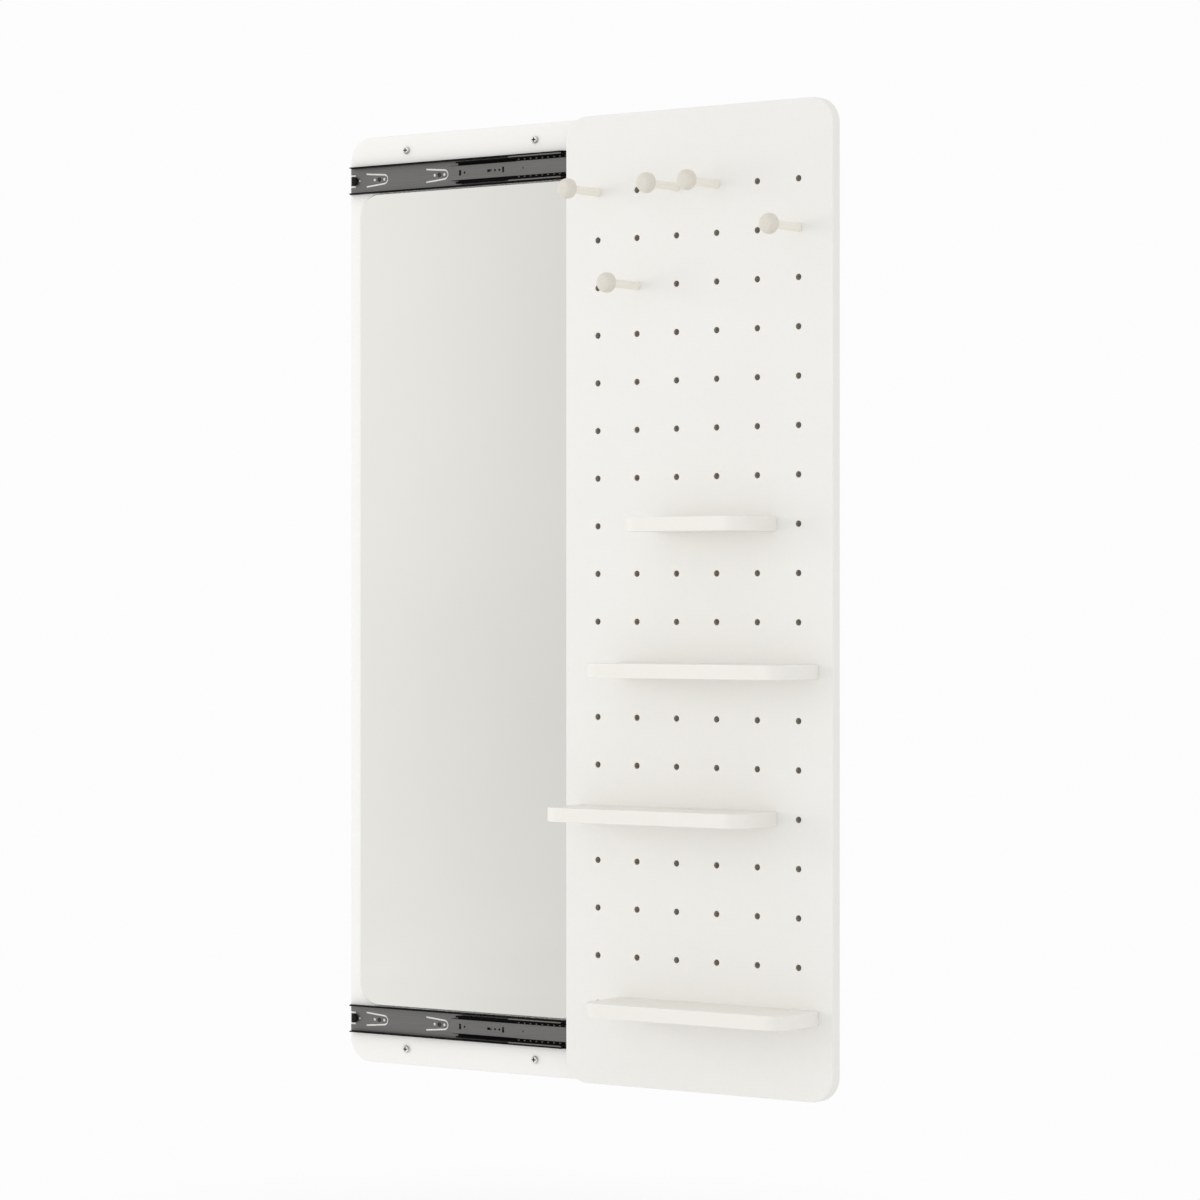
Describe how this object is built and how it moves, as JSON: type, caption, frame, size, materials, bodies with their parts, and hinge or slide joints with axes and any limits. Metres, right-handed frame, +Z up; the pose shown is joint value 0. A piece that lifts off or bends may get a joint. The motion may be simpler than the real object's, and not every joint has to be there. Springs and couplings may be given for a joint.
{
  "type": "full length wall mirror",
  "caption": "Tall wall mirror on a white back board, behind a white pegboard panel that slides sideways on ball slides and carries pegs and shelves.",
  "frame": {"origin": "centre of the back board's rear face, on the wall, midway between the four wall screws", "axes": "+X to the right as you face the mirror, the way the panel opens; +Z up; +Y into the wall, so the front faces -Y"},
  "size_m": [0.964, 0.186, 1.525],
  "materials": {
    "white_lacquer": "white satin lacquer on fibreboard",
    "panel_lacquer": "white satin lacquer on fibreboard",
    "shelf_lacquer": "white satin lacquer on wood",
    "peg_lacquer": "pale matt lacquer on turned wood",
    "mirror": "polished silvered glass",
    "tape": "foam adhesive tape",
    "slide_steel": "dark electrocoated steel",
    "cage_steel": "black phosphated strip",
    "ball_steel": "polished ball steel",
    "wall_screw_steel": "zinc plated",
    "slide_screw_steel": "black zinc plated",
    "bumper_rubber": "black rubber",
    "dowel_wood": "plain beech"
  },
  "bodies": {
    "wall_unit": {"back_board": "white_lacquer", "mirror_glass": "mirror", "mirror_tape": "tape", "wall_screws": "wall_screw_steel", "outer_member_screws": "slide_screw_steel", "slide_bumpers": "bumper_rubber", "top_outer_member": "slide_steel", "bottom_outer_member": "slide_steel"},
    "panel": {"pegboard_panel": "panel_lacquer", "inner_member_screws": "slide_screw_steel", "top_inner_member": "slide_steel", "bottom_inner_member": "slide_steel"},
    "top_middle": {"top_middle_member": "slide_steel"},
    "top_outer_cage": {"top_outer_cage": "cage_steel", "top_outer_balls": "ball_steel"},
    "top_inner_cage": {"top_inner_cage": "cage_steel", "top_inner_balls": "ball_steel"},
    "bottom_middle": {"bottom_middle_member": "slide_steel"},
    "bottom_outer_cage": {"bottom_outer_cage": "cage_steel", "bottom_outer_balls": "ball_steel"},
    "bottom_inner_cage": {"bottom_inner_cage": "cage_steel", "bottom_inner_balls": "ball_steel"},
    "peg_one": {"peg_one": "peg_lacquer"},
    "peg_two": {"peg_two": "peg_lacquer"},
    "peg_three": {"peg_three": "peg_lacquer"},
    "peg_four": {"peg_four": "peg_lacquer"},
    "peg_five": {"peg_five": "peg_lacquer"},
    "short_shelf": {"short_shelf_board": "shelf_lacquer", "short_shelf_dowels": "dowel_wood"},
    "upper_shelf": {"upper_shelf_board": "shelf_lacquer", "upper_shelf_dowels": "dowel_wood"},
    "middle_shelf": {"middle_shelf_board": "shelf_lacquer", "middle_shelf_dowels": "dowel_wood"},
    "lower_shelf": {"lower_shelf_board": "shelf_lacquer", "lower_shelf_dowels": "dowel_wood"}
  },
  "joints": [
    {"name": "panel_slide", "type": "slide", "parent": "wall_unit", "child": "panel", "axis": [1, 0, 0], "range_m": [-0.464, 0]},
    {"name": "top_middle_slide", "type": "slide", "parent": "wall_unit", "child": "top_middle", "axis": [1, 0, 0], "range_m": [-0.19724, 0.0005]},
    {"name": "top_outer_cage_slide", "type": "slide", "parent": "wall_unit", "child": "top_outer_cage", "axis": [1, 0, 0], "range_m": [-0.09887, 0.0005]},
    {"name": "top_inner_cage_slide", "type": "slide", "parent": "wall_unit", "child": "top_inner_cage", "axis": [1, 0, 0], "range_m": [-0.33087, 0.0005]},
    {"name": "bottom_middle_slide", "type": "slide", "parent": "wall_unit", "child": "bottom_middle", "axis": [1, 0, 0], "range_m": [-0.19724, 0.0005]},
    {"name": "bottom_outer_cage_slide", "type": "slide", "parent": "wall_unit", "child": "bottom_outer_cage", "axis": [1, 0, 0], "range_m": [-0.09887, 0.0005]},
    {"name": "bottom_inner_cage_slide", "type": "slide", "parent": "wall_unit", "child": "bottom_inner_cage", "axis": [1, 0, 0], "range_m": [-0.33087, 0.0005]},
    {"name": "peg_one_pull", "type": "slide", "parent": "panel", "child": "peg_one", "axis": [0, -1, 0], "range_m": [0, 0.03]},
    {"name": "peg_two_pull", "type": "slide", "parent": "panel", "child": "peg_two", "axis": [0, -1, 0], "range_m": [0, 0.03]},
    {"name": "peg_three_pull", "type": "slide", "parent": "panel", "child": "peg_three", "axis": [0, -1, 0], "range_m": [0, 0.03]},
    {"name": "peg_four_pull", "type": "slide", "parent": "panel", "child": "peg_four", "axis": [0, -1, 0], "range_m": [0, 0.03]},
    {"name": "peg_five_pull", "type": "slide", "parent": "panel", "child": "peg_five", "axis": [0, -1, 0], "range_m": [0, 0.03]},
    {"name": "short_shelf_pull", "type": "slide", "parent": "panel", "child": "short_shelf", "axis": [0, -1, 0], "range_m": [0, 0.03]},
    {"name": "upper_shelf_pull", "type": "slide", "parent": "panel", "child": "upper_shelf", "axis": [0, -1, 0], "range_m": [0, 0.03]},
    {"name": "middle_shelf_pull", "type": "slide", "parent": "panel", "child": "middle_shelf", "axis": [0, -1, 0], "range_m": [0, 0.03]},
    {"name": "lower_shelf_pull", "type": "slide", "parent": "panel", "child": "lower_shelf", "axis": [0, -1, 0], "range_m": [0, 0.03]}
  ],
  "couplings": [
    {"joint": "top_middle_slide", "follows": "panel_slide", "ratio": 0.424},
    {"joint": "top_outer_cage_slide", "follows": "panel_slide", "ratio": 0.212},
    {"joint": "top_inner_cage_slide", "follows": "panel_slide", "ratio": 0.712},
    {"joint": "bottom_middle_slide", "follows": "panel_slide", "ratio": 0.424},
    {"joint": "bottom_outer_cage_slide", "follows": "panel_slide", "ratio": 0.212},
    {"joint": "bottom_inner_cage_slide", "follows": "panel_slide", "ratio": 0.712}
  ]
}
